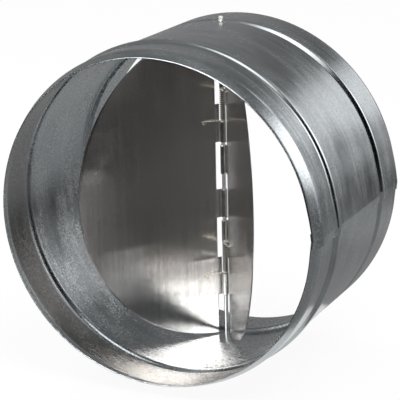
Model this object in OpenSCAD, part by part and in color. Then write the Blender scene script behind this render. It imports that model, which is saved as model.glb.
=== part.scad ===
// Round backdraft shutter for a ventilation duct.
// Two half-disc leaves hinge on one upright axle, and two torsion springs push them shut.
// The origin is on the duct's axis at mid length: +Y runs from the outlet rim to the inlet rim,
// +Z runs up along the axle, and +X is on the right, seen from the outlet.

/* [Casing] */
// Bore of the round duct that the casing slips into
duct_d = 200; // [160:5:315]
// Gap all round between the duct's bore and the casing
slip_gap = 0.4; // [0.2:0.05:0.5]
// Length of the casing from rim to rim
casing_len = 135; // [125:1:200]
// Thickness of the galvanised sheet
casing_wall = 0.6; // [0.4:0.05:0.8]
// Width of the lap where the two ends of the sheet overlap
lap_w = 9.2; // [6:0.2:14]
// How far below the level of the duct's axis the lower edge of the lap lies, in degrees
lap_drop_deg = 2.1; // [0:0.1:20]

/* [Lead-in lip] */
// Length of the tapered lip at the outlet rim
lip_len = 8; // [4:0.5:12]
// How far the outlet rim is drawn in
lip_draw = 3.0; // [1:0.1:4]

/* [Rolled beads] */
// Distance from the outlet rim to the middle of the raised front bead
front_bead_at = 32.5; // [24:0.5:40]
// Distance from the inlet rim to the middle of the sunk seat bead
seat_bead_at = 28.2; // [24:0.1:40]
// Width of a bead
bead_w = 8; // [5:0.2:10]
// Height of the front bead outside the wall
front_bead_h = 1.6; // [1:0.1:3]
// Depth of the seat bead inside the wall
seat_bead_h = 2.4; // [1.5:0.1:3]

/* [Axle] */
// Diameter of the axle wire
axle_d = 2.4; // [2:0.1:3]
// Gap all round between the axle and its holes in the casing
axle_hole_gap = 0.05; // [0.02:0.01:0.1]
// Height of the flattened ends outside the casing
head_h = 3.2; // [1.5:0.1:4]
// Width of the flattened ends, across the duct
head_w = 3.2; // [2.8:0.1:5]
// Thickness of the flattened ends, along the duct
head_t = 1.7; // [1:0.1:2]

/* [Leaves] */
// Thickness of the aluminium sheet
leaf_t = 0.5; // [0.3:0.05:0.8]
// Gap between the round edge of a leaf and the casing wall
leaf_edge_gap = 0.9; // [0.75:0.05:1.3]
// Running gap all round between the axle and a knuckle
knuckle_gap = 0.05; // [0.02:0.01:0.1]
// How far a knuckle is curled round the axle, in degrees
curl_deg = 270; // [200:5:300]
// How far the left leaf stands open at rest, in degrees
left_open_deg = 54; // [0:0.2:85]
// How far the right leaf stands open at rest, in degrees
right_open_deg = 57.4; // [0:0.2:85]

/* [Hinge edge of a leaf] */
// Depth of the notches in the hinge edge, from the axle's middle
notch_depth = 4.6; // [4:0.1:8]
// Height on the axle where the upper tab begins
upper_tab_from = 25; // [24:0.5:27]
// Height on the axle where the upper tab ends
upper_tab_to = 48.8; // [44:0.2:56]
// Height below the axle's middle where the middle tab begins
middle_tab_from = 5; // [2:0.5:10]
// Height below the axle's middle where the middle tab ends
middle_tab_to = 23; // [16:0.5:23]
// Height below the axle's middle where the lower tab ends
lower_tab_to = 73; // [66:0.5:80]

/* [Springs] */
// Diameter of the spring wire
wire_d = 0.55; // [0.4:0.05:0.7]
// Gap between the axle and the inside of a coil
coil_gap = 0.2; // [0.2:0.05:0.3]
// Height of the upper coil's lower end on the axle
coil_low_z = 39; // [37:0.1:41]
// Height of the upper coil's upper end on the axle
coil_high_z = 58.3; // [56:0.1:61]
// Full turns of a coil with both leaves shut
coil_turns = 17; // [14:1:19]
// Reach of a spring's leg from the axle's middle, along its leaf, up to the eye at its tip
leg_reach = 12.6; // [8:0.2:30]
// Radius of the eye at a leg's tip, to the middle of the wire
eye_r = 0.85; // [0.75:0.05:1.2]

/* [Hidden] */

// Overrun of every cut, so that no cut ends flush with a face
overrun = 1;
// Gap between a head of the axle and the casing, and between a coil and the knuckles at its ends
seat_gap = 0.12;
end_gap = 0.4;
// Gap between a shut leaf and the shoulder of the seat bead
shut_gap = 0.25;
// Gap between a coil and the edge of the tab beside it
tab_gap = 0.15;
// Gap between a spring's leg and the leaf that it pushes
leg_gap = 0.05;

casing_r = duct_d / 2 - slip_gap;
bore_r = casing_r - casing_wall;
mid_wall_r = casing_r - casing_wall / 2;
lap_r = bore_r - casing_wall;
front_y = -casing_len / 2;
front_bead_y = front_y + front_bead_at;
seat_y = casing_len / 2 - seat_bead_at;
lap_deg = lap_w / casing_r * 180 / PI;

// The leaf's sheet lies behind the axle, against the shoulder of the seat bead at the lap
axle_r = axle_d / 2;
knuckle_r = axle_r + knuckle_gap;
leaf_r = bore_r - leaf_edge_gap;
lap_room = leaf_edge_gap - casing_wall;
shoulder = bead_w / 180 * acos(sqrt(lap_room / seat_bead_h));
axle_y = seat_y - shoulder - shut_gap - leaf_t - knuckle_r;

wire_r = wire_d / 2;
coil_r = axle_r + coil_gap + wire_r;
tab_in = sqrt(pow(coil_r + wire_r + tab_gap, 2) - pow(knuckle_r, 2));

// Where the knuckles stop short of the coils
upper_knuckle_to = coil_low_z - wire_r - end_gap;
lower_knuckle_from = coil_high_z + wire_r + end_gap;

casing_fn = 180;
axle_fn = 48;
bead_steps = 10;
curl_rings = 8;
wire_sides = 6;

// How far the wall lies inside its full radius at y: in at the lip, out at the front bead and in at the
// seat bead
function bump(y, mid, h) = abs(y - mid) < bead_w / 2 ? h * pow(cos(180 * (y - mid) / bead_w), 2) : 0;
function lip(y) = y < front_y + lip_len ? lip_draw * (1 - (y - front_y) / lip_len) : 0;
function wall_in(y) = lip(y) - bump(y, front_bead_y, front_bead_h) + bump(y, seat_y, seat_bead_h);
function bead_ys(mid) = [for (i = [0:bead_steps]) mid + (i / bead_steps - 1 / 2) * bead_w];
function rim_ys() = [front_y, front_y + lip_len];
function casing_ys() = concat(rim_ys(), bead_ys(front_bead_y), bead_ys(seat_y), [casing_len / 2]);

// The section of the wall between two radii, turned round the duct's axis
module casing_ring(inner_r, outer_r, angle) {
    ys = casing_ys();
    last = len(ys) - 1;
    outside = [for (y = ys) [outer_r - wall_in(y), y]];
    inside = [for (i = [last:-1:0]) [inner_r - wall_in(ys[i]), ys[i]]];
    rotate_extrude(angle = angle, $fn = casing_fn) polygon(concat(outside, inside));
}

module casing_shell() {
    color([0.62, 0.65, 0.66]) difference() {
        rotate([-90, 0, 0]) {
            // Turned half round, so that the wall begins and ends away from the lap
            rotate([0, 0, 180]) casing_ring(bore_r, casing_r, 360);
            rotate([0, 0, lap_drop_deg - lap_deg]) casing_ring(lap_r, mid_wall_r, lap_deg);
        }
        translate([0, axle_y, -casing_r - overrun])
            cylinder(r = axle_r + axle_hole_gap, h = 2 * (casing_r + overrun), $fn = axle_fn);
    }
}

// The wire is flattened outside each hole, which keeps it in place
module axle_head() {
    translate([-head_w / 2, -head_t / 2, casing_r + seat_gap]) cube([head_w, head_t, head_h]);
}

module axle_rod() {
    half = casing_r + seat_gap + head_h / 2;
    color([0.78, 0.78, 0.76]) translate([0, axle_y, 0]) {
        translate([0, 0, -half]) cylinder(r = axle_r, h = 2 * half, $fn = axle_fn);
        axle_head();
        mirror([0, 0, 1]) axle_head();
    }
}

// A tab of the hinge edge between two heights, out to a distance from the axle's middle
module tab(z_from, z_to, inner) {
    translate([-notch_depth - overrun, z_from]) square([notch_depth + overrun - inner, z_to - z_from]);
}

// The flat sheet of a shut left leaf, seen from the outlet
module leaf_outline() {
    intersection() {
        circle(r = leaf_r, $fn = casing_fn);
        translate([-leaf_r, -leaf_r]) square([leaf_r - notch_depth, 2 * leaf_r]);
    }
    tab(upper_tab_from, upper_knuckle_to, 0);
    tab(upper_tab_from, upper_tab_to, tab_in);
    tab(-middle_tab_to, -middle_tab_from, 0);
    tab(-lower_tab_to, -lower_knuckle_from, 0);
    tab(-lower_tab_to, -upper_tab_to, tab_in);
}

// The end of a tab, curled round the front of the axle
module knuckle(z_from, z_to) {
    translate([0, 0, z_from]) rotate([0, 0, 90 - curl_deg]) rotate_extrude(angle = curl_deg, $fn = axle_fn)
        translate([knuckle_r, 0]) square([leaf_t, z_to - z_from]);
}

module leaf() {
    translate([0, knuckle_r + leaf_t, 0]) rotate([90, 0, 0]) linear_extrude(leaf_t) leaf_outline();
    knuckle(upper_tab_from, upper_knuckle_to);
    knuckle(-middle_tab_to, -middle_tab_from);
    knuckle(-lower_tab_to, -lower_knuckle_from);
}

module left_leaf() {
    color([0.74, 0.74, 0.73]) translate([0, axle_y, 0]) rotate([0, 0, left_open_deg]) leaf();
}

// The right leaf is the same part, turned half round the duct's axis
module right_leaf() {
    color([0.74, 0.74, 0.73]) translate([0, axle_y, 0]) rotate([0, 0, -right_open_deg])
        rotate([0, 180, 0]) leaf();
}

// A leg lies on the front of its leaf at the tip, and meets the coil at a tangent in front of the axle.
// Its eye lies flat on the leaf: the left leg's below the leg, the right leg's above it.
eye_turn_deg = 250;
eye_steps = 7;
leg_off = knuckle_r - wire_r - leg_gap;
leg_far = norm([leg_reach, leg_off]);
leg_meets_deg = atan2(leg_off, -leg_reach) + acos(coil_r / leg_far);
coil_start_deg = leg_meets_deg + left_open_deg;
coil_end_deg = 180 - leg_meets_deg - right_open_deg + 360 * coil_turns;
coil_sweep_deg = coil_end_deg - coil_start_deg;
coil_points = round(coil_sweep_deg / 360 * curl_rings);
coil_rise = coil_high_z - coil_low_z;

function turned(p, deg) = [p.x * cos(deg) - p.y * sin(deg), p.x * sin(deg) + p.y * cos(deg), p.z];
function at_polar(r, deg, z) = turned([r, 0, z], deg);
function coil_at(s) = at_polar(coil_r, coil_start_deg + s * coil_sweep_deg, coil_low_z + s * coil_rise);

// A point of an eye, i steps round from the leg's tip; toward is -1 on the left leaf and 1 on the right
function eye_out(i) = leg_reach + eye_r * sin(eye_turn_deg * i / eye_steps);
function eye_off(i) = eye_r * (1 - cos(eye_turn_deg * i / eye_steps));
function eye_at(toward, i, z, deg) = turned([toward * eye_out(i), leg_off, z + toward * eye_off(i)], deg);
function left_eye() = [for (i = [eye_steps:-1:0]) eye_at(-1, i, coil_low_z, left_open_deg)];
function right_eye() = [for (i = [0:eye_steps]) eye_at(1, i, coil_high_z, -right_open_deg)];
function coil_path() = [for (i = [0:coil_points]) coil_at(i / coil_points)];

function unit(v) = v / norm(v);
function heading(path, i) = unit(path[min(i + 1, len(path) - 1)] - path[max(i - 1, 0)]);
function wire_ring(centre, ahead, side) =
    let (up = cross(side, ahead))
    [for (k = [0:wire_sides - 1]) centre
        + wire_r * (cos(360 * k / wire_sides) * side + sin(360 * k / wire_sides) * up)];

// Level across the wire: toward the front of the leaf all along an eye
function level_side(ahead) = unit(cross(ahead, [0, 0, 1]));
function wire_sides_of(path) = [for (i = [0:len(path) - 1])
    i <= eye_steps ? turned([0, -1, 0], left_open_deg)
    : i >= len(path) - 1 - eye_steps ? turned([0, -1, 0], -right_open_deg)
    : level_side(heading(path, i))];

// Least distance between turns: each point against those half a turn or more further on
function coil_clearance(path) = min([for (i = [0:len(path) - 1], j = [i + curl_rings / 2:1:len(path) - 1])
    norm(path[i] - path[j])]) - wire_d;
// Least distance between the end of an eye and its leg
function eye_clearance() = eye_off(eye_steps) - wire_d;

module wire(path) {
    rings = len(path);
    sides_of = wire_sides_of(path);
    points = [for (i = [0:rings - 1]) each wire_ring(path[i], heading(path, i), sides_of[i])];
    sides = [for (i = [0:rings - 2], k = [0:wire_sides - 1])
        let (a = i * wire_sides + k, b = i * wire_sides + (k + 1) % wire_sides)
        each [[a, b, b + wire_sides], [a, b + wire_sides, a + wire_sides]]];
    last = (rings - 1) * wire_sides;
    ends = [for (k = [1:wire_sides - 2]) each [[0, k + 1, k], [last, last + k, last + k + 1]]];
    polyhedron(points = points, faces = concat(sides, ends));
}

module spring(drop) {
    color([0.3, 0.28, 0.24]) translate([0, axle_y, -drop]) wire(concat(left_eye(), coil_path(), right_eye()));
}

module upper_spring() {
    spring(0);
}

// The lower spring is the same part, as far below the middle as the upper one is above it
module lower_spring() {
    spring(coil_low_z + coil_high_z);
}

echo(least_gap_between_turns = coil_clearance(coil_path()), least_gap_at_an_eye = eye_clearance());

casing_shell();
axle_rod();
left_leaf();
right_leaf();
upper_spring();
lower_spring();
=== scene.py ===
import math

import bmesh
import bpy
from mathutils import Matrix, Vector


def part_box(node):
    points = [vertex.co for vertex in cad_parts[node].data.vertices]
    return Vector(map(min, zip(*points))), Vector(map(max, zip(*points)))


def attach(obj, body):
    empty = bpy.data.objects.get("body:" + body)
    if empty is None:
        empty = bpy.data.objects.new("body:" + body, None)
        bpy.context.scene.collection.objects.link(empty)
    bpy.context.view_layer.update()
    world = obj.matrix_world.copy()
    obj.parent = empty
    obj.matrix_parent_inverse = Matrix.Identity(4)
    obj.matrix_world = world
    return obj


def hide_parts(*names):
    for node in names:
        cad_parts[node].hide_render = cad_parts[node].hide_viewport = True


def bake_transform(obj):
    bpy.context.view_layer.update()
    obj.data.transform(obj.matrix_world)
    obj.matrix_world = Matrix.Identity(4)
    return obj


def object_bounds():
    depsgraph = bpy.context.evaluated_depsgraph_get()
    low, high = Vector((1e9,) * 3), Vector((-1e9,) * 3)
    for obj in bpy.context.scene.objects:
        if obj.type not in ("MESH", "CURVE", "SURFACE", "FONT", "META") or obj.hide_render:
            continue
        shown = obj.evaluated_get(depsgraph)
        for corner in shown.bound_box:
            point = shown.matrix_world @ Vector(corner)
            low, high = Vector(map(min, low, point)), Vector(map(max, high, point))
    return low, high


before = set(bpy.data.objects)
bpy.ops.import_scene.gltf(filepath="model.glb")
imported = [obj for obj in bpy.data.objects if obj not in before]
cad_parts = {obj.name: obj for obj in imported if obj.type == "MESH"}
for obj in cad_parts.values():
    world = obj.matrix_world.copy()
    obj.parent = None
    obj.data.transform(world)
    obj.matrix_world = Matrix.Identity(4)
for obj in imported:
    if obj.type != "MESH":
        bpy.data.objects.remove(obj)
cad_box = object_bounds()
axle_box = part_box("axle_rod")

# Lengths are in millimetres, as in the part's source, until a mesh is made
MM = 0.001

# Casing, with its radius and its two ends taken from the frame
WALL = 0.6
FRONT_BEAD_H = 1.6
FRONT_BEAD_Y = -35.0
SEAT_BEAD_H = 2.4
SEAT_BEAD_Y = 39.3
# A bead's half section: ends of its round crest, its steep flank and its shallow foot, and their slope
FRONT_BEAD_ENDS = (1.6, 3.4, 4.8)
SEAT_BEAD_ENDS = (1.0, 3.4, 4.8)
BEAD_SLOPE = 0.28
BEAD_STEPS = 32
CASING_R = cad_box[1][0] / MM - FRONT_BEAD_H
BORE_R = CASING_R - WALL
OUTLET_Y = cad_box[0][1] / MM
INLET_Y = cad_box[1][1] / MM
LIP_LEN = 8.0
LIP_END_Y = OUTLET_Y + LIP_LEN
LIP_DRAW = 3.0
LIP_BEND = 1.4
RIM_ROUND = 0.2

# Seam: the sheet's outer end, joggled by its thickness, laps over the inner end
LAP_LOW_DEG = -2.1
LAP_HIGH_DEG = 3.19
LAP_AIR = 0.02
FLAT_END_DEG = 6.5
JOGGLE_DEG = 9.0

# Slight waves of the rolled sheet: how many go round, their share, their start and its twist per millimetre
WAVE_H = 0.05
SHEET_WAVES = (
    (3, 1.0, 0.4, 0.0),
    (5, 0.7, 0.0, 1 / 31),
    (9, 0.5, 0.0, -1 / 17),
)

# Axle, a wire with its middle and its ends taken from the frame, flattened outside the casing
AXLE_R = 1.2
AXLE_HOLE_R = 1.34
AXLE_Y = (axle_box[0][1] + axle_box[1][1]) / 2 / MM
AXLE_END_Z = axle_box[1][2] / MM
HEAD_W = 3.2
HEAD_T = 1.7
HEAD_FROM_Z = 99.6
HEAD_FULL_Z = 100.5
HEAD_ROWS_Z = (99.0, 101.4)
HEAD_SQUARENESS = 5
TRIM = 0.22
TRIM_LEN = 0.4

# Leaves
LEAF_T = 0.5
LEAF_R = 98.1
LEAF_EDGE_ROUND = 0.09
LEAF_EDGE_DEG = 50.0
KNUCKLE_R = 1.45
KNUCKLE_MID_R = KNUCKLE_R + LEAF_T / 2
CURL_DEG = 270.0
NOTCH_X = 4.6
CUT_BACK_X = 1.687
TAB_ROOT_X = 1.2
LEFT_OPEN_DEG = 54.0
RIGHT_OPEN_DEG = 57.4

# Springs
WIRE_R = 0.275
COIL_R = 1.675
COIL_LOW_Z = 39.0
COIL_HIGH_Z = 58.3
COIL_TURNS = 17
LEG_REACH = 12.6
LEG_OFF = 0.925
EYE_R = 0.85
EYE_TURN_DEG = 250.0
EYE_STEPS = 16
LEG_SHARES = (0.1, 0.3, 0.5, 0.7, 0.9)
COIL_RINGS = 20
WIRE_SIDES = 10
WIRE_END_SHARE = 0.75

# Angle between two faces that stays a crease when a piece is shaded smooth
CREASE_DEG = 38.0
AXLE_CREASE_DEG = 50.0
SPRING_CREASE_DEG = 60.0


def smooth_step(none, full, value):
    """0 to 1 with soft ends, as the value goes from the first mark to the second, up or down."""
    t = min(1.0, max(0.0, (value - none) / (full - none)))
    return t * t * (3 - 2 * t)


def spread(first, last, steps):
    return [first + (last - first) * i / steps for i in range(steps + 1)]


# Meshes


def new_piece(name, points, faces, uvs=None, crease_deg=CREASE_DEG, marked=None):
    """An object from points in millimetres; uvs hold each one's place on the flat sheet, marked 1 or 0."""
    mesh = bpy.data.meshes.new(name)
    mesh.from_pydata([Vector(p) * MM for p in points], [], faces)
    if uvs:
        layer = mesh.uv_layers.new(name="sheet")
        for loop in mesh.loops:
            layer.data[loop.index].uv = Vector(uvs[loop.vertex_index]) * MM
    if marked:
        layer = mesh.uv_layers.new(name="marked")
        for loop in mesh.loops:
            layer.data[loop.index].uv = (marked[loop.vertex_index], 0)
    form = bmesh.new()
    form.from_mesh(mesh)
    bmesh.ops.remove_doubles(form, verts=form.verts, dist=1e-7)
    bmesh.ops.dissolve_degenerate(form, edges=form.edges, dist=1e-7)
    bmesh.ops.recalc_face_normals(form, faces=form.faces)
    form.to_mesh(mesh)
    form.free()
    piece = bpy.data.objects.new(name, mesh)
    bpy.context.scene.collection.objects.link(piece)
    smooth(piece, crease_deg)
    return piece


def smooth(piece, crease_deg):
    """Smooth shading, with a crease where faces meet at more than the given angle."""
    form = bmesh.new()
    form.from_mesh(piece.data)
    for face in form.faces:
        face.smooth = True
    for edge in form.edges:
        soft = len(edge.link_faces) == 2 and edge.calc_face_angle() < math.radians(crease_deg)
        edge.smooth = soft
    form.to_mesh(piece.data)
    form.free()


def settled(piece):
    """The piece with its modifiers worked into its mesh."""
    bpy.context.view_layer.update()
    seen = piece.evaluated_get(bpy.context.evaluated_depsgraph_get())
    mesh = bpy.data.meshes.new_from_object(seen)
    piece.modifiers.clear()
    piece.data = mesh
    mesh.name = piece.name
    smooth(piece, CREASE_DEG)
    return piece


def drilled(piece, drill):
    """The piece with the drill's form cut out of it; the drill is used up."""
    cut = piece.modifiers.new("hole", "BOOLEAN")
    cut.object = drill
    cut.operation = "DIFFERENCE"
    cut.solver = "EXACT"
    settled(piece)
    bpy.data.objects.remove(drill)
    return piece


def tube_faces(rings, sides):
    """Quads round a tube of point rings, and a face over each end."""
    faces = []
    for i in range(rings - 1):
        for k in range(sides):
            a, b = i * sides + k, i * sides + (k + 1) % sides
            faces.append((a, b, b + sides, a + sides))
    faces.append(tuple(reversed(range(sides))))
    faces.append(tuple((rings - 1) * sides + k for k in range(sides)))
    return faces


# Casing


def bead(off, height, ends):
    """Height of a bead above the wall, off from its middle."""
    crest, flank, foot = ends
    crest_h = height - BEAD_SLOPE * crest / 2
    foot_h = BEAD_SLOPE * (foot - flank) / 2
    off = abs(off)
    if off < crest:
        return height - BEAD_SLOPE * off ** 2 / (2 * crest)
    if off > flank:
        return foot_h * (max(0.0, foot - off) / (foot - flank)) ** 2
    run = flank - crest
    t = (off - crest) / run
    down = t * t * (3 - 2 * t)
    bend = t * (1 - t) * (1 - 2 * t)
    return crest_h + (foot_h - crest_h) * down - BEAD_SLOPE * run * bend


def wall_in(y):
    """How far the wall lies inside its full radius at y: in at the lip, out and in at the beads."""
    into_lip = LIP_END_Y - y
    lip = (into_lip + math.hypot(into_lip, LIP_BEND)) / 2 * LIP_DRAW / LIP_LEN
    return (lip - bead(y - FRONT_BEAD_Y, FRONT_BEAD_H, FRONT_BEAD_ENDS)
            + bead(y - SEAT_BEAD_Y, SEAT_BEAD_H, SEAT_BEAD_ENDS))


def wall_section():
    """The wall's closed outline, as (distance along the duct, radius) points, and 1 for those inside."""
    front, seat = FRONT_BEAD_ENDS[-1], SEAT_BEAD_ENDS[-1]
    ys = spread(OUTLET_Y + RIM_ROUND, LIP_END_Y - 2, 4)
    ys += spread(LIP_END_Y - 1.5, LIP_END_Y + 2, 7)
    ys += spread(LIP_END_Y + 4, FRONT_BEAD_Y - front - 1, 4)
    ys += spread(FRONT_BEAD_Y - front, FRONT_BEAD_Y + front, BEAD_STEPS)
    ys += spread(FRONT_BEAD_Y + front + 1, SEAT_BEAD_Y - seat - 1, 14)
    ys += spread(SEAT_BEAD_Y - seat, SEAT_BEAD_Y + seat, BEAD_STEPS)
    ys += spread(SEAT_BEAD_Y + seat + 1, INLET_Y - RIM_ROUND, 6)
    soft = RIM_ROUND * (1 - math.sqrt(0.5))
    outside = [(y, CASING_R - wall_in(y)) for y in ys]
    inside = [(y, r - WALL) for y, r in reversed(outside)]
    lip_r = CASING_R - wall_in(OUTLET_Y)
    inlet = [
        (INLET_Y - soft, CASING_R - soft),
        (INLET_Y, CASING_R - RIM_ROUND),
        (INLET_Y, BORE_R + RIM_ROUND),
        (INLET_Y - soft, BORE_R + soft),
    ]
    outlet = [
        (OUTLET_Y + soft, lip_r - WALL + soft),
        (OUTLET_Y, lip_r - WALL + RIM_ROUND),
        (OUTLET_Y, lip_r - RIM_ROUND),
        (OUTLET_Y + soft, lip_r - soft),
    ]
    section = outside + inlet + inside + outlet
    inner = [0.0] * (len(outside) + 2) + [1.0] * (len(inside) + 4) + [0.0] * 2
    return section, inner


def sheet_turns():
    """The sheet's angles, from its inner end down round the duct to its outer end."""
    first, last = LAP_HIGH_DEG, LAP_LOW_DEG - 360
    near = FLAT_END_DEG + 2
    turns = spread(first, first - near, 30)
    turns += spread(first - near, last + near, 330)[1:]
    turns += spread(last + near, last, 40)[1:]
    return turns


def sheet_rise(turn, y):
    """How far the sheet lies outside its true circle: flat ends, the joggle of the lap and slight waves."""
    seam = (LAP_LOW_DEG + LAP_HIGH_DEG) / 2
    off_seam = abs((turn - seam + 180) % 360 - 180)
    flat = math.radians(max(0.0, FLAT_END_DEG - off_seam))
    rise = CASING_R * (1 / math.cos(flat) - 1)
    outer = smooth_step(LAP_HIGH_DEG + JOGGLE_DEG, LAP_HIGH_DEG, turn + 360)
    rise += outer * (WALL + LAP_AIR)
    a = math.radians(turn)
    wave = sum(share * math.sin(count * a + start + twist * y)
               for count, share, start, twist in SHEET_WAVES)
    wave *= 1 - smooth_step(FLAT_END_DEG + 8, FLAT_END_DEG, off_seam)
    return rise + WAVE_H * wave


def casing_sheet():
    """The rolled sheet with its lip, its beads and its lapped seam, and the axle's two holes."""
    section, inner = wall_section()
    points, uvs = [], []
    turns = sheet_turns()
    for turn in turns:
        a = math.radians(turn)
        for y, r in section:
            r += sheet_rise(turn, y)
            points.append((r * math.cos(a), y, r * math.sin(a)))
            uvs.append((CASING_R * a, y))
    faces = tube_faces(len(turns), len(section))
    casing = new_piece("casing_sheet", points, faces, uvs, marked=inner * len(turns))
    ring = [(AXLE_HOLE_R * math.cos(t), AXLE_Y + AXLE_HOLE_R * math.sin(t))
            for t in spread(0, 2 * math.pi, 40)[:-1]]
    past_wall = 10
    for middle in (-CASING_R, CASING_R):
        drill = [(x, y, z) for z in (middle - past_wall, middle + past_wall) for x, y in ring]
        drilled(casing, new_piece("drill", drill, tube_faces(2, len(ring))))
    return casing


# Axle


def axle_wire():
    """A round wire whose ends are hammered flat outside the casing."""
    sides = 32
    upper = spread(*HEAD_ROWS_Z, 8)
    shaft = spread(2 - upper[0], upper[0] - 2, 40)
    upper += [AXLE_END_Z - TRIM_LEN, AXLE_END_Z - 0.3 * TRIM_LEN, AXLE_END_Z]
    points, uvs = [], []
    heights = [-z for z in reversed(upper)] + shaft + upper
    for z in heights:
        flat = smooth_step(HEAD_FROM_Z, HEAD_FULL_Z, abs(z))
        trim = TRIM * (1 - smooth_step(-0.05, TRIM_LEN, AXLE_END_Z - abs(z)))
        half_x = AXLE_R + flat * (HEAD_W / 2 - AXLE_R) - trim
        half_y = AXLE_R + flat * (HEAD_T / 2 - AXLE_R) - trim
        power = 2 / (2 + HEAD_SQUARENESS * flat)
        for k in range(sides):
            a = 2 * math.pi * k / sides
            c, s = math.cos(a), math.sin(a)
            points.append((
                half_x * math.copysign(abs(c) ** power, c),
                AXLE_Y + half_y * math.copysign(abs(s) ** power, s),
                z,
            ))
            uvs.append((a * AXLE_R, z))
    return new_piece("axle_wire", points, tube_faces(len(heights), sides), uvs, AXLE_CREASE_DEG)


# Leaves

# Each tab of a leaf: its lowest and highest point, and those of the part that curls round the axle
TABS = (
    (25.0, 48.8, 25.0, 38.325),
    (-23.0, -5.0, -23.0, -5.0),
    (-73.0, -48.8, -73.0, -58.975),
)

# Marks of use on the leaves: wide buckles, creases beside the notches' corners, a dent and a long
# ripple; S is measured along the sheet from the axle, and a fade is where a mark is none and full
BUCKLE_H = 0.08
BUCKLE_FADE_S = (-8.0, -30.0)
# Each wave of the buckles: its share, its turn per millimetre along S and Z, and its start
BUCKLE_WAVES = (
    (1.0, 1 / 19, 1 / 34, 0.0),
    (0.8, -1 / 41, 1 / 16, 1.1),
)
CREASES_Z = (-73.0, -48.8, -23.0, -5.0, 25.0, 48.8)
CREASE_H = 0.13
CREASE_W = 1.3
CREASE_FADES_S = ((-NOTCH_X, -NOTCH_X - 2), (-30.0, -6.0))
DENT_S = -83.0
DENT_Z = 20.0
DENT_H = 0.85
DENT_LEN = 10.0
DENT_W = 8.0
RIPPLE_S = -80.0
RIPPLE_Z = -33.0
RIPPLE_H = 0.08
RIPPLE_W = 3.6
RIPPLE_SLANT = 0.07
RIPPLE_FADES_S = ((-93.0, -80.0), (-30.0, -75.0))

# The leaf's mesh: rows about a millimetre apart up to here and finer above, columns closer at the hinge
EVEN_ROWS_Z = 90.0
FINE_ROWS = 10
COLUMNS = 44
COLUMN_CROWDING = 1.25
CURL_STEPS = 22


def leaf_rows():
    """Heights of the leaf's mesh rows; every end of a tab lies on one."""
    marks = [-EVEN_ROWS_Z] + sorted({z for tab in TABS for z in tab}) + [EVEN_ROWS_Z]
    rows = []
    for low, high in zip(marks, marks[1:]):
        rows += spread(low, high, max(2, round(high - low)))[:-1]
    top = math.sqrt(LEAF_R ** 2 - NOTCH_X ** 2)
    fine = [EVEN_ROWS_Z + (top - EVEN_ROWS_Z) * math.sin(turn)
            for turn in spread(0, math.pi / 2, FINE_ROWS)]
    return [-z for z in reversed(fine[1:])] + rows + fine


def curl_point(s, bow):
    """A point of a shut left leaf's sheet, s along it from the axle: flat, then curled round the front."""
    if s <= 0:
        return s, KNUCKLE_MID_R + bow
    a = math.pi / 2 - s / KNUCKLE_MID_R
    return KNUCKLE_MID_R * math.cos(a), KNUCKLE_MID_R * math.sin(a)


def leaf_bow(s, z):
    """How far the leaf's sheet stands off flat at a point, by its marks of use."""
    bow = BUCKLE_H * smooth_step(*BUCKLE_FADE_S, s) * sum(
        share * math.sin(s * turn_s + z * turn_z + start) for share, turn_s, turn_z, start in BUCKLE_WAVES)
    beside = math.prod(smooth_step(*fade, s) for fade in CREASE_FADES_S)
    for crease_z in CREASES_Z:
        bow -= CREASE_H * beside * math.exp(-((z - crease_z) / CREASE_W) ** 2)
    bow -= DENT_H * math.exp(-((s - DENT_S) / DENT_LEN) ** 2 - ((z - DENT_Z) / DENT_W) ** 2)
    along = math.prod(smooth_step(*fade, s) for fade in RIPPLE_FADES_S)
    ripple_z = RIPPLE_Z + RIPPLE_SLANT * (s - RIPPLE_S)
    bow -= RIPPLE_H * along * math.exp(-((z - ripple_z) / RIPPLE_W) ** 2)
    return bow


def leaf_sheet(name, half_turn, open_deg):
    """A leaf: half a disc with three tabs curled round the axle, swung open by an angle."""
    rows = leaf_rows()
    curl = math.radians(CURL_DEG) * KNUCKLE_MID_R
    shares = [1 - (1 - i / COLUMNS) ** COLUMN_CROWDING for i in range(COLUMNS + 1)]
    index, flat_points, faces = {}, [], []

    def point(s, z):
        key = (round(s, 4), round(z, 4))
        if key not in index:
            index[key] = len(flat_points)
            flat_points.append(key)
        return index[key]

    def strip(low, high, columns_low, columns_high):
        for i in range(len(columns_low) - 1):
            quad = [point(columns_low[i], low), point(columns_low[i + 1], low),
                    point(columns_high[i + 1], high), point(columns_high[i], high)]
            corners = list(dict.fromkeys(quad))
            if len(corners) > 2:
                faces.append(corners)

    def disc_columns(z):
        edge = -math.sqrt(max(LEAF_R ** 2 - z ** 2, NOTCH_X ** 2))
        return [edge + (-NOTCH_X - edge) * share for share in shares]

    for low, high in zip(rows, rows[1:]):
        strip(low, high, disc_columns(low), disc_columns(high))
        middle = (low + high) / 2
        for tab_low, tab_high, curl_low, curl_high in TABS:
            columns = [-NOTCH_X, -CUT_BACK_X]
            if curl_low < middle < curl_high:
                columns += [-TAB_ROOT_X] + spread(0, curl, CURL_STEPS)
            if tab_low < middle < tab_high:
                strip(low, high, columns, columns)

    points = [(*curl_point(s, leaf_bow(s, z)), z) for s, z in flat_points]
    leaf = new_piece(name, points, faces, flat_points)
    skin = leaf.modifiers.new("thickness", "SOLIDIFY")
    skin.thickness = LEAF_T * MM
    skin.offset = 0
    skin.use_even_offset = True
    settled(leaf)
    edges = leaf.modifiers.new("edges", "BEVEL")
    edges.width = LEAF_EDGE_ROUND * MM
    edges.segments = 2
    edges.limit_method = "ANGLE"
    edges.angle_limit = math.radians(LEAF_EDGE_DEG)
    settled(leaf)
    turn = Matrix.Rotation(math.radians(open_deg), 4, "Z")
    if half_turn:
        turn = turn @ Matrix.Rotation(math.pi, 4, "Y")
    leaf.data.transform(Matrix.Translation((0, AXLE_Y * MM, 0)) @ turn)
    return leaf


# Springs

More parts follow.
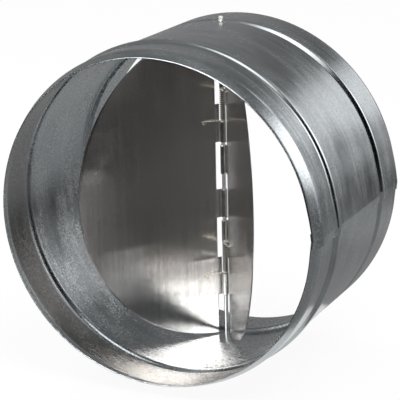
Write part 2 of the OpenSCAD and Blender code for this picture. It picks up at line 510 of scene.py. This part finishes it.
# Each leg leaves the coil where it is tangent to it, and each leaf's opening turns its end of the coil
LEG_FAR = math.hypot(LEG_REACH, LEG_OFF)
LEG_MEETS = math.atan2(LEG_OFF, -LEG_REACH) + math.acos(COIL_R / LEG_FAR)
COIL_START = LEG_MEETS + math.radians(LEFT_OPEN_DEG)
COIL_END = math.pi - LEG_MEETS - math.radians(RIGHT_OPEN_DEG) + 2 * math.pi * COIL_TURNS


def wire_tube(name, path, leg_from, leg_to):
    """A tube along the path, with the points of its leg marked."""
    points, uvs, marked = [], [], []
    run = 0.0
    side = (path[1] - path[0]).cross(Vector((0.3, 0.2, 1)))
    for i, centre in enumerate(path):
        ahead = (path[min(i + 1, len(path) - 1)] - path[max(i - 1, 0)]).normalized()
        side = (side - ahead * side.dot(ahead)).normalized()
        up = side.cross(ahead)
        run += (centre - path[i - 1]).length if i else 0.0
        radius = WIRE_R * (WIRE_END_SHARE if i in (0, len(path) - 1) else 1.0)
        for k in range(WIRE_SIDES):
            a = 2 * math.pi * k / WIRE_SIDES
            points.append(centre + radius * (math.cos(a) * side + math.sin(a) * up))
            uvs.append((run, WIRE_R * a))
            marked.append(1.0 if leg_from <= i <= leg_to else 0.0)
    faces = tube_faces(len(path), WIRE_SIDES)
    return new_piece(name, points, faces, uvs, SPRING_CREASE_DEG, marked)


def coil_point(share, drop):
    """A point of the coil's wire, a share of the way up it."""
    a = COIL_START + share * (COIL_END - COIL_START)
    z = COIL_LOW_Z + share * (COIL_HIGH_Z - COIL_LOW_Z) - drop
    return Vector((COIL_R * math.cos(a), AXLE_Y + COIL_R * math.sin(a), z))


def eye_point(turn_deg, toward, root_z, open_deg):
    """A point of the eye at a leg's tip; toward is -1 on the left leaf and 1 on the right."""
    turn = math.radians(turn_deg)
    flat = Vector((toward * (LEG_REACH + EYE_R * math.sin(turn)), LEG_OFF,
                   root_z + toward * EYE_R * (1 - math.cos(turn))))
    return Matrix.Rotation(math.radians(open_deg), 3, "Z") @ flat + Vector((0, AXLE_Y, 0))


def spring_half(name, drop, right):
    """Half a spring: the coil from its middle to one end, the leg there and the eye at its tip."""
    steps = round((COIL_END - COIL_START) / (2 * math.pi) * COIL_RINGS / 2)
    path = [coil_point(share, drop) for share in spread(0.5, 1.0 if right else 0.0, steps)]
    root = path[-1]
    toward, open_deg = (1, -RIGHT_OPEN_DEG) if right else (-1, LEFT_OPEN_DEG)
    eye = [eye_point(turn, toward, root.z, open_deg) for turn in spread(0, EYE_TURN_DEG, EYE_STEPS)]
    path += [root.lerp(eye[0], share) for share in LEG_SHARES] + eye
    leg_points = len(path) - steps - 1
    if right:
        half = wire_tube(name, path, steps, len(path))
    else:
        path.reverse()
        half = wire_tube(name, path, 0, leg_points)
    middle_z = coil_point(0.5, drop).z
    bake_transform(half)
    return half


# Finishes


class Value:
    """A socket of a finish; sums on it add Math nodes."""

    def __init__(self, finish, socket):
        self.finish = finish
        self.socket = socket

    def _sum(self, operation, first, second):
        return self.finish.node("Math", {"operation": operation}, {0: first, 1: second})

    def __add__(self, other):
        return self._sum("ADD", self, other)

    __radd__ = __add__

    def __sub__(self, other):
        return self._sum("SUBTRACT", self, other)

    def __rsub__(self, other):
        return self._sum("SUBTRACT", other, self)

    def __mul__(self, other):
        return self._sum("MULTIPLY", self, other)

    __rmul__ = __mul__


class Finish:
    """A node tree: a piece's material, or the world's."""

    def __init__(self, owner):
        owner.use_nodes = True
        self.owner = owner
        self.tree = owner.node_tree
        self.tree.nodes.clear()

    def node(self, kind, settings=None, sockets=None, out=0):
        """A node's output: its settings are made first, then its sockets set or linked."""
        made = self.tree.nodes.new("ShaderNode" + kind)
        for key, setting in (settings or {}).items():
            setattr(made, key, setting)
        for key, value in (sockets or {}).items():
            if isinstance(value, Value):
                self.tree.links.new(value.socket, made.inputs[key])
            else:
                made.inputs[key].default_value = value
        return Value(self, made.outputs[out])

    def vector(self, operation, first, second=(0, 0, 0), out=0, **more):
        sockets = {0: first, 1: second}
        sockets.update(more)
        return self.node("VectorMath", {"operation": operation}, sockets, out)

    def blend_colours(self, share, first, second):
        return self.node("Mix", {"data_type": "RGBA"}, {0: share, 6: first, 7: second}, 2)

    def sheet_place(self):
        """The place on the flat sheet, in metres."""
        return self.node("UVMap", {"uv_map": "sheet"})

    def marked(self):
        """One on the casing's inside and on a spring's legs."""
        return self.axis(self.node("UVMap", {"uv_map": "marked"}), "X")

    def axis(self, place, name):
        return self.node("SeparateXYZ", {}, {0: place}, name)

    def channel(self, colour, name):
        return self.node("SeparateColor", {}, {0: colour}, name)

    def clouds(self, place, scale, stretch=(1, 1, 1), detail=3.0, rough=0.55):
        stretched = self.vector("MULTIPLY", place, stretch)
        return self.node("TexNoise", {"noise_dimensions": "3D"}, {
            "Vector": stretched, "Scale": scale, "Detail": detail, "Roughness": rough})

    def crystals(self, place, scale):
        """Cells of random colours."""
        return self.node("TexVoronoi", {"feature": "F1"}, {"Vector": place, "Scale": scale}, "Color")

    def between(self, value, none, full):
        """0 to 1 with soft ends, as the value goes from the first mark to the second, up or down."""
        return self.node("MapRange", {"interpolation_type": "SMOOTHSTEP"}, {
            "Value": value, "From Min": none, "From Max": full})

    def fade(self, place, none, full):
        """The same for a place in metres and marks in millimetres."""
        return self.between(place, none * MM, full * MM)

    def off_middle(self, place, middle):
        """How far a place in metres is from a middle in millimetres, either way."""
        return self.node("Math", {"operation": "ABSOLUTE"}, {0: place - middle * MM})

    def tilt(self, colour, reach):
        """A vector that a random colour turns to any side, as long as its reach at the most."""
        aside = self.vector("SUBTRACT", colour, (0.5, 0.5, 0.5))
        return self.vector("SCALE", aside, Scale=reach)

    def tilted_normal(self, *tilts):
        """The surface's normal with each tilt vector added to it."""
        normal = self.node("NewGeometry", out="Normal")
        for tilt in tilts:
            normal = self.vector("ADD", normal, tilt)
        return self.vector("NORMALIZE", normal)

    def surface(self, shader):
        kind = "OutputWorld" if isinstance(self.owner, bpy.types.World) else "OutputMaterial"
        end = self.tree.nodes.new("ShaderNode" + kind)
        self.tree.links.new(shader.socket, end.inputs["Surface"])
        return self.owner


def new_finish(name):
    return Finish(bpy.data.materials.new(name))


# Zinc of the casing; each fade is where a mark is none and where it is full
ZINC_COLOURS = ((0.27, 0.295, 0.31, 1), (0.60, 0.63, 0.645, 1))
# Painted shade of the inside front strip: its dark colours, and where it fades in
FRONT_STRIP_SHADE_COLOURS = ((0.10, 0.095, 0.09, 1), (0.36, 0.355, 0.345, 1))
FRONT_STRIP_FADE_Y = (-37.5, -39.5)
LIP_FADE = 0.8
BEAD_FADE = (4.6, 3.8)
# The scuffs lie on the lip's bend, beside the sheet's outer end, which is measured round the casing
OUTER_END = CASING_R * math.radians(LAP_LOW_DEG - 360)
SCUFFS_Y = LIP_END_Y - 2
SCUFF_FADE_ROUND = (OUTER_END + 24.0, OUTER_END + 16.0)
SCUFF_FADE_Y = (4.2, 3.0)
# The painted shade is a dark patch low inside on the left, its middle measured round the casing from the
# right side
LOW_SHADE_COLOUR = (0.075, 0.068, 0.065, 1)
LOW_SHADE_AT = -264.0
LOW_SHADE_FADE = (66.0, 22.0)


def galvanised_sheet():
    """Dull zinc: crystals that tilt the shine, most of all inside, cloudy patches and fine forming lines,
    with painted shade inside and a painted highlight on the inside of the lip.
    """
    zinc = new_finish("galvanised_sheet")
    place = zinc.sheet_place()
    round_duct = zinc.axis(place, "X")
    along_duct = zinc.axis(place, "Y")
    inner = zinc.marked()
    lip = zinc.fade(along_duct, LIP_END_Y + LIP_FADE, LIP_END_Y - LIP_FADE)
    flat_wall = (1 - zinc.fade(zinc.off_middle(along_duct, FRONT_BEAD_Y), *BEAD_FADE)
                 - zinc.fade(zinc.off_middle(along_duct, SEAT_BEAD_Y), *BEAD_FADE))
    # Painted shade on the inside of the front strip, between the front bead and the lip
    front_strip_shade = inner * zinc.fade(along_duct, *FRONT_STRIP_FADE_Y) * (1 - lip)
    # Painted shade: a patch low inside on the left
    low_shade = inner * zinc.fade(zinc.off_middle(round_duct, LOW_SHADE_AT), *LOW_SHADE_FADE) * (1 - lip)
    seam_scuffs = (zinc.fade(round_duct, *SCUFF_FADE_ROUND)
                   * zinc.fade(zinc.off_middle(along_duct, SCUFFS_Y), *SCUFF_FADE_Y)
                   * zinc.between(zinc.clouds(place, 480.0, detail=4.0, rough=0.7), 0.47, 0.56))

    grains = zinc.crystals(place, 1300.0)
    flakes = zinc.crystals(place, 420.0)
    speckle = zinc.clouds(place, 1100.0, (0.7, 1.3, 1))
    lines = zinc.clouds(place, 1.0, (16, 2400, 1))
    streaks = zinc.clouds(place, 1.0, (7, 260, 1))
    scuffs = zinc.clouds(place, 1.0, (35, 900, 1), detail=4.0)
    patches = zinc.clouds(place, 45.0, (0.6, 1.3, 1), detail=4.0)
    frost = zinc.between(zinc.clouds(place, 24.0, (0.7, 1.2, 1), detail=5.0, rough=0.7), 0.40, 0.62)
    grain_tone = zinc.channel(grains, "Red")
    flake_tone = zinc.channel(flakes, "Green")

    reach = (0.012 + (0.02 + 0.13 * frost) * inner) * (0.1 + 0.9 * flat_wall)
    along = zinc.node("CombineXYZ", {}, {"Y": (lines - 0.5) * 0.06})
    normal = zinc.tilted_normal(zinc.tilt(grains, reach), zinc.tilt(flakes, 0.3 * reach), along)

    # Painted shade darkens the whole inside (0.22 * inner), and a painted highlight lightens the inside of
    # the lip (0.8 * inner * lip)
    tone = (0.42 + (0.03 + 1.25 * inner * frost) * (grain_tone - 0.5) + 0.06 * (flake_tone - 0.5)
            + (1.5 + 2.0 * inner) * (0.25 + 0.75 * flat_wall) * (speckle - 0.5)
            + 1.3 * (patches - 0.5) + 0.5 * (streaks - 0.5) + 0.3 * (lines - 0.5)
            - 0.5 * zinc.between(scuffs, 0.66, 0.78) - 0.22 * inner - 1.4 * seam_scuffs
            + 0.8 * inner * lip)
    colour = zinc.blend_colours(tone, *ZINC_COLOURS)
    # Painted shade: the front strip inside is blended to dark colours, mottled by the speckle
    dull = zinc.blend_colours(speckle * 1.6 - 0.4, *FRONT_STRIP_SHADE_COLOURS)
    colour = zinc.blend_colours(front_strip_shade * 0.75, colour, dull)
    # Painted shade: the low patch inside is darkened towards a brownish black, more on the front strip
    colour = zinc.blend_colours(low_shade * (0.32 + 0.35 * front_strip_shade), colour, LOW_SHADE_COLOUR)
    rough = (0.23 + 0.10 * inner * frost * grain_tone + 0.35 * (patches - 0.5)
             + 0.15 * (streaks - 0.5))
    return zinc.surface(zinc.node("BsdfPrincipled", {}, {
        "Base Color": colour, "Metallic": 1.0, "Roughness": rough, "Normal": normal}))


# Rolled aluminium of the leaves
ALUMINIUM_COLOURS = ((0.56, 0.536, 0.518, 1), (0.86, 0.84, 0.82, 1))


def rolled_aluminium():
    """Bright leaf sheet: near a mirror, with rolling lines that smear the shine across them."""
    leaf = new_finish("rolled_aluminium")
    place = leaf.sheet_place()
    lines = leaf.clouds(place, 1.0, (1300, 9, 1))
    bands = leaf.clouds(place, 1.0, (300, 3, 1))
    weave = leaf.clouds(place, 1.0, (900, 260, 1), rough=0.7)
    smears = leaf.clouds(place, 26.0, (1, 0.6, 1))
    tone = 0.5 + (lines - 0.5) + 0.7 * (bands - 0.5) + 1.6 * (weave - 0.5)
    colour = leaf.blend_colours(tone, *ALUMINIUM_COLOURS)
    rough = 0.20 + 0.03 * (bands - 0.5) + 0.05 * (smears - 0.5)
    bump = leaf.node("Bump", {}, {
        "Strength": 0.05, "Distance": 0.0002, "Height": lines * 0.5 + bands})
    return leaf.surface(leaf.node("BsdfPrincipled", {}, {
        "Base Color": colour, "Metallic": 1.0, "Roughness": rough, "Anisotropic": 0.85,
        "Normal": bump}))


# Bright wire of the axle, dulled where the hammer fell
STEEL_COLOURS = ((0.52, 0.51, 0.49, 1), (0.80, 0.79, 0.77, 1))
HAMMERED_COLOUR = (0.16, 0.16, 0.155, 1)
HAMMERED_FADE_Z = (99.0, 100.4)


def drawn_wire():
    """Bright drawn steel with fine lines along it."""
    steel = new_finish("drawn_wire")
    place = steel.sheet_place()
    lines = steel.clouds(place, 1.0, (4000, 60, 1), detail=2.0)
    dulling = steel.clouds(place, 1.0, (300, 90, 1))
    colour = steel.blend_colours(lines * 0.6 + dulling * 0.4, *STEEL_COLOURS)
    hammered = steel.fade(steel.off_middle(steel.axis(place, "Y"), 0), *HAMMERED_FADE_Z)
    colour = steel.blend_colours(hammered * 0.75, colour, HAMMERED_COLOUR)
    rough = 0.20 + 0.12 * (dulling - 0.5) + 0.16 * hammered
    bump = steel.node("Bump", {}, {"Strength": 0.08, "Distance": 0.0001, "Height": lines})
    return steel.surface(steel.node("BsdfPrincipled", {}, {
        "Base Color": colour, "Metallic": 0.55, "Roughness": rough, "Normal": bump}))


# Wire of the springs: bronze-green, painted dark on the coils as shade and painted pale on the legs as light
# falling on them
SHADED_COIL_COLOURS = ((0.018, 0.018, 0.013, 1), (0.13, 0.125, 0.095, 1))
LIT_LEG_COLOURS = ((0.62, 0.59, 0.50, 1), (0.90, 0.87, 0.78, 1))


def spring_wire():
    """Bronze-green spring wire with die lines and dull spots, painted dark on the coils as shade and pale
    along its legs as light.
    """
    wire = new_finish("spring_wire")
    place = wire.sheet_place()
    lines = wire.clouds(place, 1.0, (60, 5000, 1), detail=2.0)
    spots = wire.clouds(place, 700.0)
    tone = wire.between(spots, 0.35, 0.7) * 0.6 + lines * 0.4
    # Painted light and shade: the legs take the pale, lit colours and the coils the dark, shaded ones
    colour = wire.blend_colours(wire.marked(), wire.blend_colours(tone, *SHADED_COIL_COLOURS),
                                wire.blend_colours(tone, *LIT_LEG_COLOURS))
    rough = 0.27 + 0.16 * (spots - 0.5)
    bump = wire.node("Bump", {}, {"Strength": 0.1, "Distance": 0.00005, "Height": lines})
    return wire.surface(wire.node("BsdfPrincipled", {}, {
        "Base Color": colour, "Metallic": 1.0, "Roughness": rough, "Normal": bump}))


def finish_piece(piece, material, body, nodes):
    """Gives the piece its finish and, when a body is given, its place in the frame; a piece without a body
    is left where it is.
    """
    piece.data.materials.clear()
    piece.data.materials.append(material)
    if body:
        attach(piece, body)
    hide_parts(*nodes)


aluminium = rolled_aluminium()
spring_finish = spring_wire()

finish_piece(casing_sheet(), galvanised_sheet(), "casing_body", ["casing_shell"])
finish_piece(axle_wire(), drawn_wire(), "casing_body", ["axle_rod"])
finish_piece(leaf_sheet("left_leaf_sheet", False, LEFT_OPEN_DEG), aluminium,
             "left_leaf_body", ["left_leaf"])
finish_piece(leaf_sheet("right_leaf_sheet", True, -RIGHT_OPEN_DEG), aluminium,
             "right_leaf_body", ["right_leaf"])
for spring, drop in (("upper_spring", 0.0), ("lower_spring", COIL_LOW_Z + COIL_HIGH_Z)):
    for side in ("left", "right"):
        finish_piece(spring_half(f"{spring}_{side}_half", drop, side == "right"),
                     spring_finish, None, [spring])


# Studio

FLOOR_REACH = 4000
FLOOR_GAP = 0.05
FLOOR_WHITENESS = 0.93
FILL_STRENGTH = 0.55

# The tent's cloth: its own strength, and the share taken away low in front, with the fades of both
CLOTH_GLOW = 0.30
LOW_FRONT_SHARE = 0.82
FRONT_FADE = (-0.45, -0.85)
LOW_FADE = (0.06, -0.10)
# Dark flags in the tent: direction, degrees from its middle to full and to none, and share taken away
DARK_FLAGS = (
    ((0.80, -0.44, 0.42), 34.0, 45.0, 0.97),
)
# The light strip that stands behind on the right: its strength, and each of its fades along an axis
STRIP_GLOW = 1.2
STRIP_FADES = (("Y", 0.56, 0.66), ("Y", 0.82, 0.74), ("X", 0.15, 0.40), ("Z", -0.12, 0.06))
# Far patches of light on the tent: direction, degrees from its middle to full and to none, and strength
FAR_PATCHES = (
    ((0.78, 0.50, 0.40), 9.0, 22.0, 2.2),
    ((0.28, 0.93, 0.23), 5.5, 12.5, 1.2),
    ((0.37, 0.92, 0.03), 4.0, 11.0, 0.26),
    ((0.42, 0.90, -0.16), 3.0, 10.0, -0.20),
    ((-0.25, -0.88, 0.38), 9.0, 21.0, 12.0),
    ((0.20, -0.30, 0.93), 12.0, 25.0, 2.6),
    ((0.80, 0.36, 0.52), 8.0, 24.0, 0.65),
    ((0.05, 0.91, 0.42), 6.0, 18.0, -0.08),
)
# Near patches of the card on the floor: middle, distance to full and to none, and strength
NEAR_PATCHES = (
    ((3, -96, -101), 10.0, 46.0, 1.8),
    ((-230, -760, -101), 200.0, 420.0, -0.033),
    ((-60, 260, -101), 60.0, 190.0, 0.14),
    ((150, 260, -101), 30.0, 105.0, 0.10),
)
TENT_R = 1500.0
TENT_SIDES = 64
TENT_ROWS = 22
TENT_LIFT_DEG = (-4, 89.5)
CARD_Z = -101.4
CARD_RINGS = (104.0, 200.0, 500.0)

# Softboxes: place and power in watts
SOFTBOX_SIZE = 900.0
SOFTBOXES = {
    "key_softbox": ((600, -500, 1300), 14.0),
    "fill_softbox": ((-900, 300, 1100), 8.0),
}

# The pinhole camera that was fitted to the rims, the beads and the leaves of the photo
CAMERA_PLACE = (422.6, -906.4, 281.5)
CAMERA_RIGHT = (0.9085, 0.4174, -0.0216)
CAMERA_UP = (-0.0954, 0.2572, 0.9616)
FOCAL_LENGTH = 156.2
SENSOR_W = 36.0


def seen_plainly(finish):
    """One for what the camera sees, itself or in reflections, and else none."""
    return (finish.node("LightPath", out="Is Camera Ray") + finish.node("LightPath", out="Is Glossy Ray")
            + finish.node("LightPath", out="Is Transmission Ray"))


def studio_world():
    """Even fill light, seen as white."""
    world = bpy.data.worlds.new("studio")
    bpy.context.scene.world = world
    air = Finish(world)
    fill = air.node("Background", {}, {"Color": (0.9, 0.9, 0.9, 1), "Strength": FILL_STRENGTH})
    white = air.node("Background", {}, {"Color": (1, 1, 1, 1), "Strength": 1.0})
    air.surface(air.node("MixShader", {}, {0: seen_plainly(air), 1: fill, 2: white}))


def pale_floor():
    """White paper that keeps the shutter's shadow."""
    z = cad_box[0][2] / MM - FLOOR_GAP
    corners = [(x, y, z) for x in (-FLOOR_REACH, FLOOR_REACH) for y in (-FLOOR_REACH, FLOOR_REACH)]
    floor = new_piece("floor", corners, [(0, 1, 3, 2)])
    paper = new_finish("floor_paper")
    lit = paper.node("BsdfDiffuse", {}, {"Color": (0.97, 0.97, 0.97, 1)})
    white = paper.node("Emission", {}, {"Color": (1, 1, 1, 1), "Strength": 1.0})
    floor.data.materials.append(paper.surface(paper.node("MixShader", {}, {
        0: seen_plainly(paper) * FLOOR_WHITENESS, 1: lit, 2: white})))


def facing(cloth, ahead, direction, full_deg, none_deg):
    """One where the tent is seen near a direction, and none away from it."""
    near = cloth.vector("DOT_PRODUCT", ahead, tuple(Vector(direction).normalized()), out=1)
    return cloth.between(near, math.cos(math.radians(none_deg)), math.cos(math.radians(full_deg)))


def tent_cloth():
    """Light of the tent by direction and place: pale cloth, dark low in front and at a flag, with a
    light strip and light patches."""
    cloth = new_finish("tent_cloth")
    place = cloth.node("TexCoord", out="Object")
    ahead = cloth.vector("NORMALIZE", place)
    low_front = (cloth.between(cloth.axis(ahead, "Y"), *FRONT_FADE)
                 * cloth.between(cloth.axis(ahead, "Z"), *LOW_FADE))
    glow = CLOTH_GLOW * (1 - LOW_FRONT_SHARE * low_front)
    for direction, full_deg, none_deg, share in DARK_FLAGS:
        glow = glow * (1 - share * facing(cloth, ahead, direction, full_deg, none_deg))
    strip = STRIP_GLOW
    for axis, none, full in STRIP_FADES:
        strip = strip * cloth.between(cloth.axis(ahead, axis), none, full)
    glow = glow + strip
    for direction, full_deg, none_deg, strength in FAR_PATCHES:
        glow = glow + strength * facing(cloth, ahead, direction, full_deg, none_deg)
    for middle, full, none, strength in NEAR_PATCHES:
        off = cloth.vector("DISTANCE", place, tuple(Vector(middle) * MM), out=1)
        glow = glow + strength * cloth.fade(off, none, full)
    material = cloth.surface(cloth.node("Emission", {}, {"Color": glow, "Strength": 1.0}))
    material.cycles.emission_sampling = "NONE"
    return material


def studio_tent():
    """A tent of cards round the object and on the floor, which only its reflections see."""
    rings = [(r, CARD_Z) for r in CARD_RINGS]
    for lift_deg in spread(*TENT_LIFT_DEG, TENT_ROWS):
        lift = math.radians(lift_deg)
        rings.append((TENT_R * math.cos(lift), max(CARD_Z, TENT_R * math.sin(lift))))
    turns = [2 * math.pi * k / TENT_SIDES for k in range(TENT_SIDES)]
    points = [(r * math.cos(turn), r * math.sin(turn), z) for r, z in rings for turn in turns]
    tent = new_piece("tent", points, tube_faces(len(rings), TENT_SIDES)[:-2])
    tent.data.materials.append(tent_cloth())
    tent.visible_camera = False
    tent.visible_diffuse = False
    tent.visible_shadow = False


def softbox(name, place, power):
    """A square lamp that shines on the middle of the shutter and isn't seen in reflections."""
    lamp = bpy.data.lights.new(name, "AREA")
    lamp.size = SOFTBOX_SIZE * MM
    lamp.energy = power
    box = bpy.data.objects.new(name, lamp)
    box.location = Vector(place) * MM
    box.rotation_euler = (-Vector(place)).to_track_quat("-Z", "Y").to_euler()
    bpy.context.scene.collection.objects.link(box)
    box.visible_glossy = False


def photo_camera():
    """The camera's place and aim."""
    lens = bpy.data.cameras.new("camera")
    lens.sensor_width = SENSOR_W
    lens.lens = FOCAL_LENGTH
    camera = bpy.data.objects.new("camera", lens)
    right, up = Vector(CAMERA_RIGHT), Vector(CAMERA_UP)
    back = right.cross(up).normalized()
    up = back.cross(right).normalized()
    turn = Matrix((right.normalized(), up, back)).transposed().to_4x4()
    camera.matrix_world = Matrix.Translation(Vector(CAMERA_PLACE) * MM) @ turn
    bpy.context.scene.collection.objects.link(camera)
    bpy.context.scene.camera = camera


studio_world()
pale_floor()
studio_tent()
for name, (place, power) in SOFTBOXES.items():
    softbox(name, place, power)
photo_camera()
bpy.context.scene.view_settings.view_transform = "Standard"
